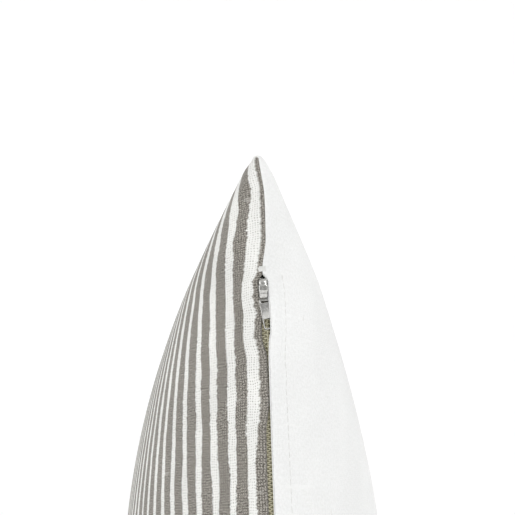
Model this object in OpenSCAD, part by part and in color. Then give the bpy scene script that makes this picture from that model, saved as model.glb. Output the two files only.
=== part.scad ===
// Square throw pillow: a zipped cover with a striped face and a plain face,
// over a filled inner form. Units are millimetres.
// It stands on its lower edge with the base on z = 0. X is the thickness, the striped
// face is on -X, and the zip runs up the -Y side.

/* [Cover] */
// Height from the flattened lower edge to the middle of the top seam
mid_height = 414; // [330:1:480]
// Half of the width across Y, at mid height
mid_half_width = 213; // [170:0.5:245]
// How much further the corners reach than the middles of the edges
corner_flare = 7; // [0:0.5:15]
// Thickness through the middle of the filled pillow
loft = 140; // [90:1:190]
// Wall thickness of the woven cover
cover_wall = 1; // [0.6:0.1:2]
// Half width of the flat strip the pillow stands on
base_half_width = 26; // [12:1:40]
// Gap between each panel and the middle of the seams
seam_gap = 0.2; // [0.15:0.05:0.5]

/* [Inner form] */
// Space between the cover and the inner form at the faces
insert_face_gap = 3; // [2:0.5:8]
// Space between the seams and the inner form's edge
insert_edge_gap = 12; // [10:0.5:25]
// Wall thickness of the inner casing
casing_wall = 0.8; // [0.5:0.1:2]
// Space between the casing and the fibre fill
fill_gap = 0.5; // [0.3:0.1:2]

/* [Zip] */
// Height of the zip's lower end above the base
zip_bottom = 46; // [30:1:80]
// Height of the zip's upper end above the base
zip_top = 377; // [250:1:400]
// Distance from the middle of the pillow to the plane of the chain
zip_reach = 211.5; // [170:0.5:240]
// Distance from one tooth of a coil to the next
tooth_pitch = 1.4; // [1.2:0.1:2.5]
// Width of one tooth along the zip
tooth_width = 0.4; // [0.3:0.05:0.6]
// How far a tooth reaches past the middle
tooth_reach = 0.35; // [0.2:0.05:0.5]
// Distance from the middle to the back of the teeth
coil_inner = 0.65; // [0.5:0.05:0.9]
// Distance from the middle to the outer edge of the coil
coil_outer = 2.1; // [1.8:0.1:3]
// Thickness of the coil
coil_thick = 1.7; // [1.2:0.1:2.5]
// Distance from the middle to the tape's inner edge
tape_inner = 0.9; // [0.7:0.1:1.5]
// Distance from the middle to the tape's outer edge
tape_outer = 11.4; // [11:0.1:13]
// Thickness of the tape
tape_thick = 0.6; // [0.4:0.1:0.9]
// How far the coils part around the slider's post
coil_spread = 1.05; // [0.9:0.05:1.6]

/* [Slider] */
// Length of the slider's plates along the zip
plate_length = 9; // [7:0.5:12]
// Half width of the plates at the open end
plate_half_wide = 4; // [3.8:0.1:6]
// Half width of the plates at the closed end
plate_half_narrow = 3.1; // [3:0.1:4.5]
// Thickness of each plate
plate_thick = 0.95; // [0.7:0.05:1.5]
// Thickness of the side flanges
flange_thick = 0.6; // [0.5:0.05:1]
// Half width of the post between the plates
post_half_width = 0.4; // [0.3:0.05:0.6]
// Length of the crown along the zip
crown_length = 7.5; // [6:0.1:10]
// Width of the crown
crown_width = 2.8; // [2:0.1:4]
// Height of the crown above the outer plate
crown_rise = 3; // [2.4:0.1:4]
// Thickness of the crown's bridge
crown_bridge = 1; // [0.8:0.05:1.4]
// Length of each foot of the crown
crown_foot = 1.2; // [0.9:0.1:1.6]

/* [Pull tab] */
// Width of the tab
tab_width = 4.6; // [4:0.1:6]
// Thickness of the tab
tab_thick = 0.9; // [0.6:0.05:1.2]
// Distance from the hinge to the start of the flat plate
tab_eye = 4.9; // [4.7:0.1:6]
// Distance from the hinge to the tab's free end
tab_reach = 14.7; // [10:0.1:25]
// Width of the tab's window
tab_window_width = 2.8; // [1.5:0.1:3.4]
// Length of the tab's window
tab_window_length = 3; // [1.5:0.1:6]
// Width of each arm beside the crown
tab_arm = 0.55; // [0.4:0.05:0.7]

/* [Facings and stitching] */
// Thickness of one layer of the folded facing
facing_ply = 0.5; // [0.3:0.05:0.8]
// Distance from the middle to the facing's outer edge
facing_outer = 12; // [10:0.5:15]
// Distance between the stitches of a row
stitch_pitch = 3.2; // [2.4:0.1:5]
// Length of one stitch
stitch_length = 2.4; // [1.6:0.1:4]
// Thickness of the sewing thread
thread_size = 0.5; // [0.3:0.05:0.8]

/* [Hidden] */
$fn = 32;

// Panel grid: columns run across the width, rows run up the height.
columns = 18;
window_low = zip_bottom - 3;
window_high = zip_top + 5;
window_half = facing_outer + 0.6;
window_reach = zip_reach - 2.3;
corner_height = mid_height + corner_flare;
window_rows = 12;
row_low = window_low / corner_height;
row_high = window_high / corner_height;
// Each row is the share of the flat base strip, then the share of the height.
rows = concat(
  [[0, 0], [0.5, 0], [1, 0], [1, row_low * 0.3], [1, row_low * 0.7], [1, row_low - 0.014]],
  [for (k = [0 : window_rows]) [1, row_low + (row_high - row_low) * k / window_rows]],
  [[1, row_high + 0.014], [1, 0.945], [1, 0.966], [1, 0.986], [1, 1]]
);
row_count = len(rows);
widest_row = 0.45;
base_fade = 1 - pow(2 * base_half_width / loft, 1 / 0.6);

function clamp(v, low, high) = min(max(v, low), high);
function column_share(i) = -cos(180 * i / columns);
function in_window(t) = t > row_low - 0.001 && t < row_high + 0.001;
function end_share(t) = clamp((abs(t - 0.5) - 0.4) / 0.1, 0, 1);
function half_width(t, inset) = mid_half_width - inset + corner_flare * pow(end_share(t), 1.4);
function top_height(a, inset) = mid_height - inset + corner_flare * pow(a, 4);
function level(t) = t > widest_row ? (t - widest_row) / (1 - widest_row) : (widest_row - t) / widest_row;
function fade(t) = t > widest_row ? 1 : base_fade;
function puff(t, thinner) = (loft / 2 - thinner) * pow(max(0, 1 - fade(t) * pow(level(t), 2)), 0.6);
edge_share = 1 - pow(window_reach / mid_half_width, 2);
function edge_power(t) = clamp(ln((window_half - seam_gap) / max(puff(t, 0), 1)) / ln(edge_share), 0.26, 0.62);
function start_share(t, opened) = opened && in_window(t) ? -window_reach / mid_half_width : -1;
function across(i, t, opened) =
  let (first = start_share(t, opened)) first + (1 - first) * (column_share(i) + 1) / 2;
function rim(f, t) = seam_gap + f * 0.5 * pow(1 - t, 3);
// One point of a pillow surface: side is -1 for the striped face and +1 for the plain face.
function skin_point(i, row, side, edge_inset, thinner, lift, opened) =
  let (f = row[0], t = row[1], a = across(i, t, opened))
  [side * (rim(f, t) + f * puff(t, thinner) * pow(max(0, 1 - a * a), edge_power(t))),
   a * half_width(t, edge_inset) * (0.985 + 0.015 * f),
   lift + t * (top_height(a, edge_inset) - lift)];
function skin(side, edge_inset, thinner, lift, opened) =
  [for (i = [0 : columns]) for (j = [0 : row_count - 1])
    skin_point(i, rows[j], side, edge_inset, thinner, lift, opened)];

// A closed wall between two grids of points with the same layout.
module wall_between(outer, inner, flip) {
  n = row_count;
  m = (columns + 1) * n;
  outer_faces = [for (i = [0 : columns - 1]) for (j = [0 : n - 2]) for (h = [0, 1])
    h == 0 ? [i * n + j, i * n + j + 1, (i + 1) * n + j + 1] : [i * n + j, (i + 1) * n + j + 1, (i + 1) * n + j]];
  inner_faces = [for (f = outer_faces) [f[2] + m, f[1] + m, f[0] + m]];
  low_rim = [for (i = [0 : columns - 1]) for (h = [0, 1])
    h == 0 ? [i * n, (i + 1) * n, (i + 1) * n + m] : [i * n, (i + 1) * n + m, i * n + m]];
  top = n - 1;
  high_rim = [for (i = [0 : columns - 1]) for (h = [0, 1])
    h == 0 ? [(i + 1) * n + top + m, (i + 1) * n + top, i * n + top]
           : [i * n + top + m, (i + 1) * n + top + m, i * n + top]];
  first_rim = [for (j = [0 : n - 2]) for (h = [0, 1])
    h == 0 ? [j + 1 + m, j + 1, j] : [j + m, j + 1 + m, j]];
  c = columns * n;
  last_rim = [for (j = [0 : n - 2]) for (h = [0, 1])
    h == 0 ? [c + j, c + j + 1, c + j + 1 + m] : [c + j, c + j + 1 + m, c + j + m]];
  faces = concat(outer_faces, inner_faces, low_rim, high_rim, first_rim, last_rim);
  polyhedron(points = concat(outer, inner), faces = flip ? [for (f = faces) [f[2], f[1], f[0]]] : faces);
}

module cover_side(side) {
  wall_between(skin(side, 0, 0, 0, true), skin(side, 1.2 * cover_wall, cover_wall, cover_wall, true), side < 0);
}

module casing_side(side) {
  wall_between(
    skin(side, insert_edge_gap, insert_face_gap + cover_wall, insert_face_gap + cover_wall, false),
    skin(side, insert_edge_gap + 1.2 * casing_wall, insert_face_gap + cover_wall + casing_wall,
         insert_face_gap + cover_wall + casing_wall, false), side < 0);
}

module front_panel() {
  color([0.62, 0.6, 0.57]) cover_side(-1);
}

module back_panel() {
  color([0.93, 0.93, 0.92]) cover_side(1);
}

module insert_casing_front() {
  color([0.96, 0.96, 0.95]) casing_side(-1);
}

module insert_casing_back() {
  color([0.96, 0.96, 0.95]) casing_side(1);
}

module insert_fill() {
  inset = insert_edge_gap + 1.2 * casing_wall + 2 * fill_gap;
  thinner = insert_face_gap + cover_wall + casing_wall + fill_gap;
  color([0.98, 0.98, 0.98])
    wall_between(skin(1, inset, thinner, thinner, false), skin(-1, inset, thinner, thinner, false), false);
}

// Zip frame: x across the zip, y outwards from the chain's plane, z along the zip.
module on_zip() {
  translate([0, -zip_reach, 0]) mirror([0, 1, 0]) children();
}

// A thin layer that follows a path in the zip's cross section.
module layer(path, thick) {
  n = len(path);
  polygon(concat([for (p = path) [p[0], p[1] + thick / 2]],
                 [for (k = [n - 1 : -1 : 0]) [path[k][0], path[k][1] - thick / 2]]));
}

outer_ply = [[3.2, 3.32], [4.95, 3.22], [facing_outer, -2.2]];
return_ply = [[3.2, 2.75], [4.8, 2.68], [9.5, -0.85]];
tape_path = [[tape_inner, -1.17], [4.6, -1.17], [9.5, -1.5], [tape_outer, -2.75]];

// A folded edge: the outer layer turns under at its nose and comes back as the return layer.
module placket() {
  h = facing_ply / 2;
  on_zip() translate([0, 0, zip_bottom - 1]) linear_extrude(zip_top - zip_bottom + 4)
    polygon([outer_ply[0] + [0, h], outer_ply[1] + [0, h], outer_ply[2] + [0, h], outer_ply[2] - [0, h],
             outer_ply[1] - [0, h], outer_ply[0] + [0.4, -h], return_ply[0] + [0.4, h],
             return_ply[1] + [0, h], return_ply[2] + [0, h], return_ply[2] - [0, h], return_ply[1] - [0, h],
             return_ply[0] - [0, h], return_ply[0] + [-0.4, 0], outer_ply[0] + [-0.4, 0]]);
}

module front_placket() {
  color([0.62, 0.6, 0.57]) mirror([1, 0, 0]) placket();
}

module back_placket() {
  color([0.93, 0.93, 0.92]) placket();
}

module tape() {
  on_zip() translate([0, 0, zip_bottom - 1]) linear_extrude(zip_top - zip_bottom + 3.6)
    layer(tape_path, tape_thick);
}

module zip_tape_front() {
  color([0.64, 0.62, 0.5]) mirror([1, 0, 0]) tape();
}

module zip_tape_back() {
  color([0.64, 0.62, 0.5]) tape();
}

slider_height = zip_top - 6;
coil_top = zip_top - 0.4;
coil_bottom = zip_bottom + 0.6;
teeth = floor((coil_top - coil_bottom) / tooth_pitch) - 1;
// The coils part as they pass the slider's post.
function part_share(z) = clamp((z - (slider_height - plate_length / 2)) / 4.5, 0, 1);
function spread(z) = coil_spread * part_share(z) * part_share(z) * (3 - 2 * part_share(z));

// One half of the chain: a comb of teeth with its back along the tape.
module coil(shift) {
  start = coil_bottom + 0.3 + shift;
  comb = [for (k = [0 : teeth - 1]) let (z = start + k * tooth_pitch, s = spread(z))
    each [[coil_inner + s, z], [s - tooth_reach, z], [s - tooth_reach, z + tooth_width],
          [coil_inner + s, z + tooth_width]]];
  levels = [for (z = [coil_top : -1.5 : slider_height - plate_length / 2 - 1]) [coil_outer + spread(z), z]];
  on_zip() translate([0, coil_thick / 2, 0]) rotate([90, 0, 0]) linear_extrude(coil_thick)
    polygon(concat([[coil_outer, coil_bottom], [coil_inner, coil_bottom]], comb,
                   [[coil_inner + spread(coil_top), coil_top]], levels));
}

module zip_coil_front() {
  color([0.6, 0.57, 0.46]) mirror([1, 0, 0]) coil(0);
}

module zip_coil_back() {
  color([0.6, 0.57, 0.46]) coil(tooth_pitch / 2);
}

module top_stop() {
  on_zip() translate([1.6, -coil_thick / 2, zip_top - 0.2]) cube([2.3, 1.9, 2.4]);
}

module top_stop_front() {
  color([0.75, 0.75, 0.74]) mirror([1, 0, 0]) top_stop();
}

module top_stop_back() {
  color([0.75, 0.75, 0.74]) top_stop();
}

module bottom_stop() {
  color([0.75, 0.75, 0.74]) on_zip() translate([0, 0, zip_bottom]) difference() {
    translate([-3, -0.5, 0]) cube([6, 2.3, 2.8]);
    translate([-2.4, -1, -1]) cube([4.8, coil_thick / 2 + 1.3, 4.8]);
  }
}

inner_gap = 1.15;
under_gap = 1.8;
outer_face = inner_gap + plate_thick;

module plate_outline() {
  h = plate_length / 2;
  polygon([[-plate_half_narrow, -h + 0.8], [-plate_half_narrow + 0.8, -h], [plate_half_narrow - 0.8, -h],
           [plate_half_narrow, -h + 0.8], [plate_half_wide, -h + 4.2], [plate_half_wide, h - 1.4],
           [plate_half_wide - 1.4, h], [1.2, h], [0, h - 0.7], [-1.2, h], [-plate_half_wide + 1.4, h],
           [-plate_half_wide, h - 1.4]]);
}

// Turns a flat outline drawn in x and z into a slab from near to far along the zip's outward axis.
module slab(near, far) {
  translate([0, far, 0]) rotate([90, 0, 0]) linear_extrude(far - near) children();
}

module slider_body() {
  h = plate_length / 2;
  color([0.78, 0.78, 0.77]) on_zip() translate([0, 0, slider_height]) {
    difference() {
      slab(inner_gap, outer_face) plate_outline();
      translate([-0.6, inner_gap - 0.5, -2.5]) cube([1.2, plate_thick + 1, 1.1]);
    }
    slab(-under_gap - plate_thick, -under_gap) plate_outline();
    slab(-under_gap - 0.01, inner_gap + 0.01)
      polygon([[-post_half_width, 1.6], [0, 0.9], [post_half_width, 1.6], [post_half_width, 4], [0, 4.4],
               [-post_half_width, 4]]);
    for (side = [-1, 1]) scale([side, 1, 1]) slab(-0.55, inner_gap + 0.01)
      polygon([[plate_half_narrow - flange_thick, -h + 0.8], [plate_half_narrow, -h + 0.8],
               [plate_half_wide, -h + 4.2], [plate_half_wide, h - 1.4],
               [plate_half_wide - flange_thick, h - 1.4], [plate_half_wide - flange_thick, -h + 4.2]]);
  }
}

hinge_out = outer_face + 0.75;

module slider_crown() {
  half = crown_length / 2;
  inner = crown_rise - crown_bridge;
  color([0.82, 0.82, 0.81]) on_zip() translate([-crown_width / 2, outer_face, slider_height])
    rotate([90, 0, 90]) linear_extrude(crown_width)
      polygon([[0, -half], [crown_rise - 1.2, -half], [crown_rise - 0.3, -half + 0.9], [crown_rise, -half + 1.9],
               [crown_rise, half - 1.9], [crown_rise - 0.3, half - 0.9], [crown_rise - 1.2, half], [0, half],
               [0, half - crown_foot], [inner, half - crown_foot], [inner, -half + crown_foot],
               [0, -half + crown_foot]]);
}

module lock_pawl() {
  color([0.7, 0.69, 0.66]) on_zip() translate([-0.45, 0, slider_height]) {
    translate([0, outer_face + 1.42, -2.3]) cube([0.9, 0.3, 4.5]);
    translate([0, 0.98, -2.3]) cube([0.9, outer_face + 1.42 - 0.98 + 0.3, 0.6]);
  }
}

module tab_outline() {
  w = tab_width / 2;
  difference() {
    polygon([[-w, 0], [w, 0], [w, -tab_reach + 0.9], [w - 0.9, -tab_reach], [-w + 0.9, -tab_reach],
             [-w, -tab_reach + 0.9]]);
    translate([-w + tab_arm, -tab_eye]) square([tab_width - 2 * tab_arm, tab_eye + 1]);
    translate([-tab_window_width / 2, -tab_reach + 1.1]) square([tab_window_width, tab_window_length]);
  }
}

module pull_tab() {
  color([0.76, 0.76, 0.75]) on_zip() translate([0, hinge_out, slider_height]) {
    slab(-tab_thick / 2, tab_thick / 2) tab_outline();
    translate([-tab_width / 2, 0, 0]) rotate([0, 90, 0]) cylinder(d = tab_thick, h = tab_width);
  }
}

// A running stitch: a thin thread with a thicker length for each stitch.
module stitch_row(count, pitch, long, thick) {
  cylinder(d = thick * 0.6, h = (count - 1) * pitch + long);
  for (k = [0 : count - 1]) translate([0, 0, k * pitch]) cylinder(d = thick, h = long);
}

stitch_at = 9.6;
stitch_slope = (3.22 + 2.2) / (facing_outer - 4.95);
stitch_out = 3.22 - (stitch_at - 4.95) * stitch_slope + facing_ply / 2 + thread_size / 2 * 1.27;
stitches = floor((zip_top - zip_bottom) / stitch_pitch) - 1;

module topstitch() {
  on_zip() translate([stitch_at, stitch_out, zip_bottom + 1])
    stitch_row(stitches, stitch_pitch, stitch_length, thread_size);
}

module topstitch_front() {
  color([0.8, 0.79, 0.76]) mirror([1, 0, 0]) topstitch();
}

module topstitch_back() {
  color([0.85, 0.85, 0.84]) topstitch();
}

module bartack(height) {
  translate([0, -mid_half_width - 0.02, height]) for (k = [0 : 4])
    translate([-2.4, -thread_size / 2, k * 0.45 + thread_size / 2]) rotate([0, 90, 0])
      cylinder(d = thread_size, h = 4.8);
}

module bartack_top() {
  color([0.72, 0.7, 0.66]) bartack(zip_top + 5.2);
}

module bartack_bottom() {
  color([0.72, 0.7, 0.66]) bartack(zip_bottom - 5.6);
}

// The closing seam's thread lies along the far edge, just inside the seam allowance.
module seam_thread() {
  seam_stitches = floor((zip_top - zip_bottom) / stitch_pitch);
  color([0.8, 0.79, 0.76]) translate([0, mid_half_width - 5, zip_bottom])
    stitch_row(seam_stitches, stitch_pitch, stitch_length, thread_size);
}

front_panel();
back_panel();
front_placket();
back_placket();
topstitch_front();
topstitch_back();
bartack_top();
bartack_bottom();
zip_tape_front();
zip_tape_back();
zip_coil_front();
zip_coil_back();
top_stop_front();
top_stop_back();
bottom_stop();
slider_body();
slider_crown();
lock_pawl();
pull_tab();
seam_thread();
insert_casing_front();
insert_casing_back();
insert_fill();
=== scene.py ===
# Square throw pillow with a striped face, a plain face and a zip along one side edge.
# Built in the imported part's own frame, in metres: +Z up, +X through the thickness
# towards the plain face, -Y towards the zip.
import math

import bmesh
import bpy
import numpy as np
from mathutils import Matrix, Vector


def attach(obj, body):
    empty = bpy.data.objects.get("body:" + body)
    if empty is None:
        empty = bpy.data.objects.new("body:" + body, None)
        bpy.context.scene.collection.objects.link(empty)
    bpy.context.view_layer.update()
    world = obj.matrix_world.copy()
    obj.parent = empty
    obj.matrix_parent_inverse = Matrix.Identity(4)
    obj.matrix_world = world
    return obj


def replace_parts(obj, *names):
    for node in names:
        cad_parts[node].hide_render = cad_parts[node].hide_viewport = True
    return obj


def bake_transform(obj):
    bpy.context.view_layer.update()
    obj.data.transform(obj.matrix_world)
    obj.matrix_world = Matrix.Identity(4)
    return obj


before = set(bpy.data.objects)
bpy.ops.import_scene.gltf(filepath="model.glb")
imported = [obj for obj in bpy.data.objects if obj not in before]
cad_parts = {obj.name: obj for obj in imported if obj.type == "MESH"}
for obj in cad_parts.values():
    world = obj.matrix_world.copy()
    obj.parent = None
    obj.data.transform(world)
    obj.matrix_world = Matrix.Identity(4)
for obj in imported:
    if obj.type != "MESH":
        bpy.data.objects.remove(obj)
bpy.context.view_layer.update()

MM = 0.001

# ---- sizes of the filled cover, the same as the part's own ----
MID_HEIGHT = 414 * MM
MID_HALF_WIDTH = 213 * MM
CORNER_FLARE = 7 * MM
LOFT = 140 * MM
BASE_HALF_WIDTH = 26 * MM
PATTERN_SIDE = 462 * MM
WIDEST = 0.45
ZIP_BOTTOM = 46 * MM
ZIP_TOP = 377 * MM
ZIP_REACH = 211.5 * MM
FACING_X = 12.6 * MM
FACING_Y = ZIP_REACH - 2.3 * MM
SLIDER_Z = ZIP_TOP - 6 * MM

# ---- cloth mesh and simulation ----
CELLS = 92
SIM_FRAMES = 26
FILL_FRAMES = 12
PRESSURE = 1.0
HOLD = 0.2
CORNER_HOLD = 0.4
CORNER_SPAN = 40 * MM
SHAPED = 0.7
TENSION = 40
COMPRESSION = 25
SHEAR = 6
BENDING = 0.6


def smooth(x, low, high):
    """0 below low, 1 above high, with a smooth turn between."""
    t = np.clip((x - low) / (high - low), 0.0, 1.0)
    return t * t * (3.0 - 2.0 * t)


def puff(t):
    """Half thickness of the filled pillow at a share t of its height."""
    level = np.where(t > WIDEST, (t - WIDEST) / (1 - WIDEST), (WIDEST - t) / WIDEST)
    base_fade = 1 - (2 * BASE_HALF_WIDTH / LOFT) ** (1 / 0.6)
    fade = np.where(t > WIDEST, 1.0, base_fade)
    return LOFT / 2 * np.maximum(0, 1 - fade * level**2) ** 0.6


def half_width(t):
    end = np.clip((np.abs(t - 0.5) - 0.4) / 0.1, 0, 1)
    return MID_HALF_WIDTH + CORNER_FLARE * end**1.4


def edge_power(t):
    share = 1 - (FACING_Y / MID_HALF_WIDTH) ** 2
    return np.clip(np.log(FACING_X / np.maximum(puff(t), 1 * MM)) / np.log(share), 0.3, 0.62)


def face_x(a, t):
    return puff(t) * np.maximum(0, 1 - a * a) ** edge_power(t)


def fold_gap(z):
    """Half the opening between the folded edges of the facings, at height z."""
    garage = 2.3 * MM * (smooth(z, SLIDER_Z - 8 * MM, SLIDER_Z - 3 * MM) - smooth(z, 378 * MM, 383 * MM))
    under_tab = smooth(z, SLIDER_Z - 22 * MM, SLIDER_Z - 12 * MM)
    under_tab = under_tab - smooth(z, SLIDER_Z - 8 * MM, SLIDER_Z - 3 * MM)
    chain = 0.55 * MM + 0.65 * MM * smooth(SLIDER_Z - 30 * MM - z, 0, 45 * MM)
    chain = chain * (1 - smooth(z, SLIDER_Z - 22 * MM, SLIDER_Z - 12 * MM)) * smooth(z, 40 * MM, 50 * MM)
    low_end = 1.4 * MM * (smooth(z, 40 * MM, 48 * MM) - smooth(z, 62 * MM, 75 * MM))
    return garage + 1.2 * MM * under_tab + chain + low_end + 0.25 * MM


def filled_shape(cells):
    """The points of one filled face, spaced as the flat cloth is. Returns their x, y and z grids."""
    # rows: arc length up the middle, with the flat base strip first
    fine = np.linspace(0, 1, 2001)
    x_mid = puff(fine)
    run = np.concatenate([[0], np.cumsum(np.hypot(np.diff(x_mid), np.diff(fine * MID_HEIGHT)))])
    total = run[-1] + BASE_HALF_WIDTH
    steps = np.linspace(0, total, cells + 1)
    base = np.clip(steps / BASE_HALF_WIDTH, 0, 1)
    t = np.interp(np.maximum(steps - BASE_HALF_WIDTH, 0), run, fine)
    x = np.zeros((cells + 1, cells + 1))
    y = np.zeros_like(x)
    z = np.zeros_like(x)
    a_fine = -np.cos(np.linspace(0, np.pi, 1501))
    for j in range(cells + 1):
        across_x = face_x(a_fine, t[j]) * base[j]
        across_y = a_fine * half_width(t[j])
        arc = np.concatenate([[0], np.cumsum(np.hypot(np.diff(across_x), np.diff(across_y)))])
        a = np.interp(np.linspace(0, arc[-1], cells + 1), arc, a_fine)
        x[:, j] = face_x(a, t[j]) * base[j]
        y[:, j] = a * half_width(t[j]) * (0.985 + 0.015 * base[j])
        z[:, j] = t[j] * (MID_HEIGHT + CORNER_FLARE * a**4)
    return x, y, z


def cover_grid(cells):
    """Both faces as one sewn mesh. Returns points, flat pattern, faces, the two index grids and holds."""
    x, y, z = filled_shape(cells)
    # the zip edge stands out to the folds
    nose = 3.1 * MM * smooth(z[0], 40 * MM, 52 * MM) * (1 - smooth(z[0], 376 * MM, 386 * MM))
    beside_chain = smooth(z[0], 60 * MM, 80 * MM) - smooth(z[0], SLIDER_Z - 24 * MM, SLIDER_Z - 12 * MM)
    nose = nose - 1.0 * MM * beside_chain
    edge_y = -(ZIP_REACH + np.maximum(nose, 0))
    inside = (z[0] > 40 * MM) & (z[0] < 386 * MM)
    edge_y = np.where(inside, np.minimum(edge_y, y[0]), y[0])
    for i in range(6):
        near = math.exp(-i * 1.1)
        y[i] += (edge_y - y[0]) * near if i else 0
    y[0] = edge_y
    gap = fold_gap(z[0])
    s = np.linspace(0, PATTERN_SIDE, cells + 1)
    open_rows = (z[0] > ZIP_BOTTOM - 4 * MM) & (z[0] < ZIP_TOP + 5 * MM)
    points, flat, hold = [], [], []
    index = {}
    for side in (-1, 1):
        for i in range(cells + 1):
            for j in range(cells + 1):
                sewn = j in (0, cells) or i == cells or (i == 0 and not open_rows[j])
                if side == 1 and sewn:
                    index[side, i, j] = index[-1, i, j]
                    continue
                index[side, i, j] = len(points)
                px = 0.0 if sewn else side * x[i, j]
                if i == 0 and open_rows[j]:
                    px = side * gap[j]
                elif i in (1, 2) and open_rows[j]:
                    px = side * max(x[i, j], gap[j] + 2 * MM * i)
                points.append((px, y[i, j], z[i, j]))
                flat.append((0.0, s[i] - PATTERN_SIDE / 2, s[j]))
                on_floor = z[i, j] < 0.2 * MM
                fixed = on_floor or (i == 0 and z[i, j] > 30 * MM)
                corner = math.hypot(min(i, cells - i), min(j, cells - j)) * s[1]
                firmer = (CORNER_HOLD - HOLD) * math.exp(-((corner / CORNER_SPAN) ** 2))
                hold.append(1.0 if fixed else round(HOLD + firmer, 2))
    each = range(cells + 1)
    grids = [np.array([[index[side, i, j] for j in each] for i in each]) for side in (-1, 1)]
    faces = []
    for g, flip in ((grids[0], False), (grids[1], True)):
        for i in range(cells):
            for j in range(cells):
                quad = (g[i, j], g[i, j + 1], g[i + 1, j + 1], g[i + 1, j])
                faces.append(tuple(int(k) for k in (quad[::-1] if flip else quad)))
    points = np.array(points)
    flat = np.array(flat)
    # the cloth has eased towards the filled shape with use
    flat = flat + SHAPED * (points - flat)
    return points, flat, faces, grids, np.array(hold)


def simulate(points, flat, faces, hold):
    """Draws the flat cut cloth over the filled shape and lets it settle. Returns the settled points."""
    mesh = bpy.data.meshes.new("cover_sim")
    mesh.from_pydata(flat.tolist(), [], faces)
    mesh.update()
    obj = bpy.data.objects.new("cover_sim", mesh)
    bpy.context.scene.collection.objects.link(obj)
    obj.shape_key_add(name="cut")
    filled = obj.shape_key_add(name="filled")
    filled.data.foreach_set("co", points.astype(np.float32).ravel())
    filled.value = 0.0
    filled.keyframe_insert("value", frame=1)
    filled.value = 1.0
    filled.keyframe_insert("value", frame=FILL_FRAMES)
    group = obj.vertex_groups.new(name="hold")
    for value in sorted(set(hold.tolist())):
        group.add([int(k) for k in np.nonzero(hold == value)[0]], value, "REPLACE")
    cloth = obj.modifiers.new("cloth", "CLOTH")
    s = cloth.settings
    s.quality = 6
    s.mass = 0.25
    s.tension_stiffness = TENSION
    s.compression_stiffness = COMPRESSION
    s.shear_stiffness = SHEAR
    s.bending_stiffness = BENDING
    s.tension_damping = 8
    s.compression_damping = 8
    s.shear_damping = 8
    s.bending_damping = 0.5
    s.air_damping = 4
    s.vertex_group_mass = "hold"
    s.pin_stiffness = 1.0
    s.use_pressure = True
    s.uniform_pressure_force = PRESSURE
    s.effector_weights.gravity = 0
    cloth.collision_settings.use_collision = False
    cloth.collision_settings.use_self_collision = False
    cloth.point_cache.frame_start = 1
    cloth.point_cache.frame_end = SIM_FRAMES
    scene = bpy.context.scene
    scene.frame_start = 1
    scene.frame_end = SIM_FRAMES
    graph = bpy.context.evaluated_depsgraph_get()
    for f in range(1, SIM_FRAMES + 1):
        scene.frame_set(f)
    graph = bpy.context.evaluated_depsgraph_get()
    done = obj.evaluated_get(graph).to_mesh()
    settled = np.zeros(len(points) * 3)
    done.vertices.foreach_get("co", settled)
    obj.evaluated_get(graph).to_mesh_clear()
    bpy.data.objects.remove(obj)
    bpy.data.meshes.remove(mesh)
    scene.frame_set(1)
    return settled.reshape(-1, 3)


EVEN_ROUNDS = 20
EVEN_RIM = 6


def even_out(settled, filled, grids):
    """Softens the sharpest creases of the settled cloth. The seams and the folded edges keep their places."""
    even = settled.copy()
    for grid in grids:
        last = len(grid) - 1
        i, j = np.meshgrid(np.arange(last + 1), np.arange(last + 1), indexing="ij")
        from_rim = np.minimum(np.minimum(i, last - i), np.minimum(j, last - j))
        share = smooth(from_rim, 0, EVEN_RIM)[..., None]
        creases = (settled - filled)[grid]
        soft = creases.copy()
        for _ in range(EVEN_ROUNDS):
            around = soft[:-2, 1:-1] + soft[2:, 1:-1] + soft[1:-1, :-2] + soft[1:-1, 2:]
            soft[1:-1, 1:-1] = 0.5 * soft[1:-1, 1:-1] + 0.125 * around
        even[grid] = filled[grid] + creases + share * (soft - creases)
    return even


scene = bpy.context.scene


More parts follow.
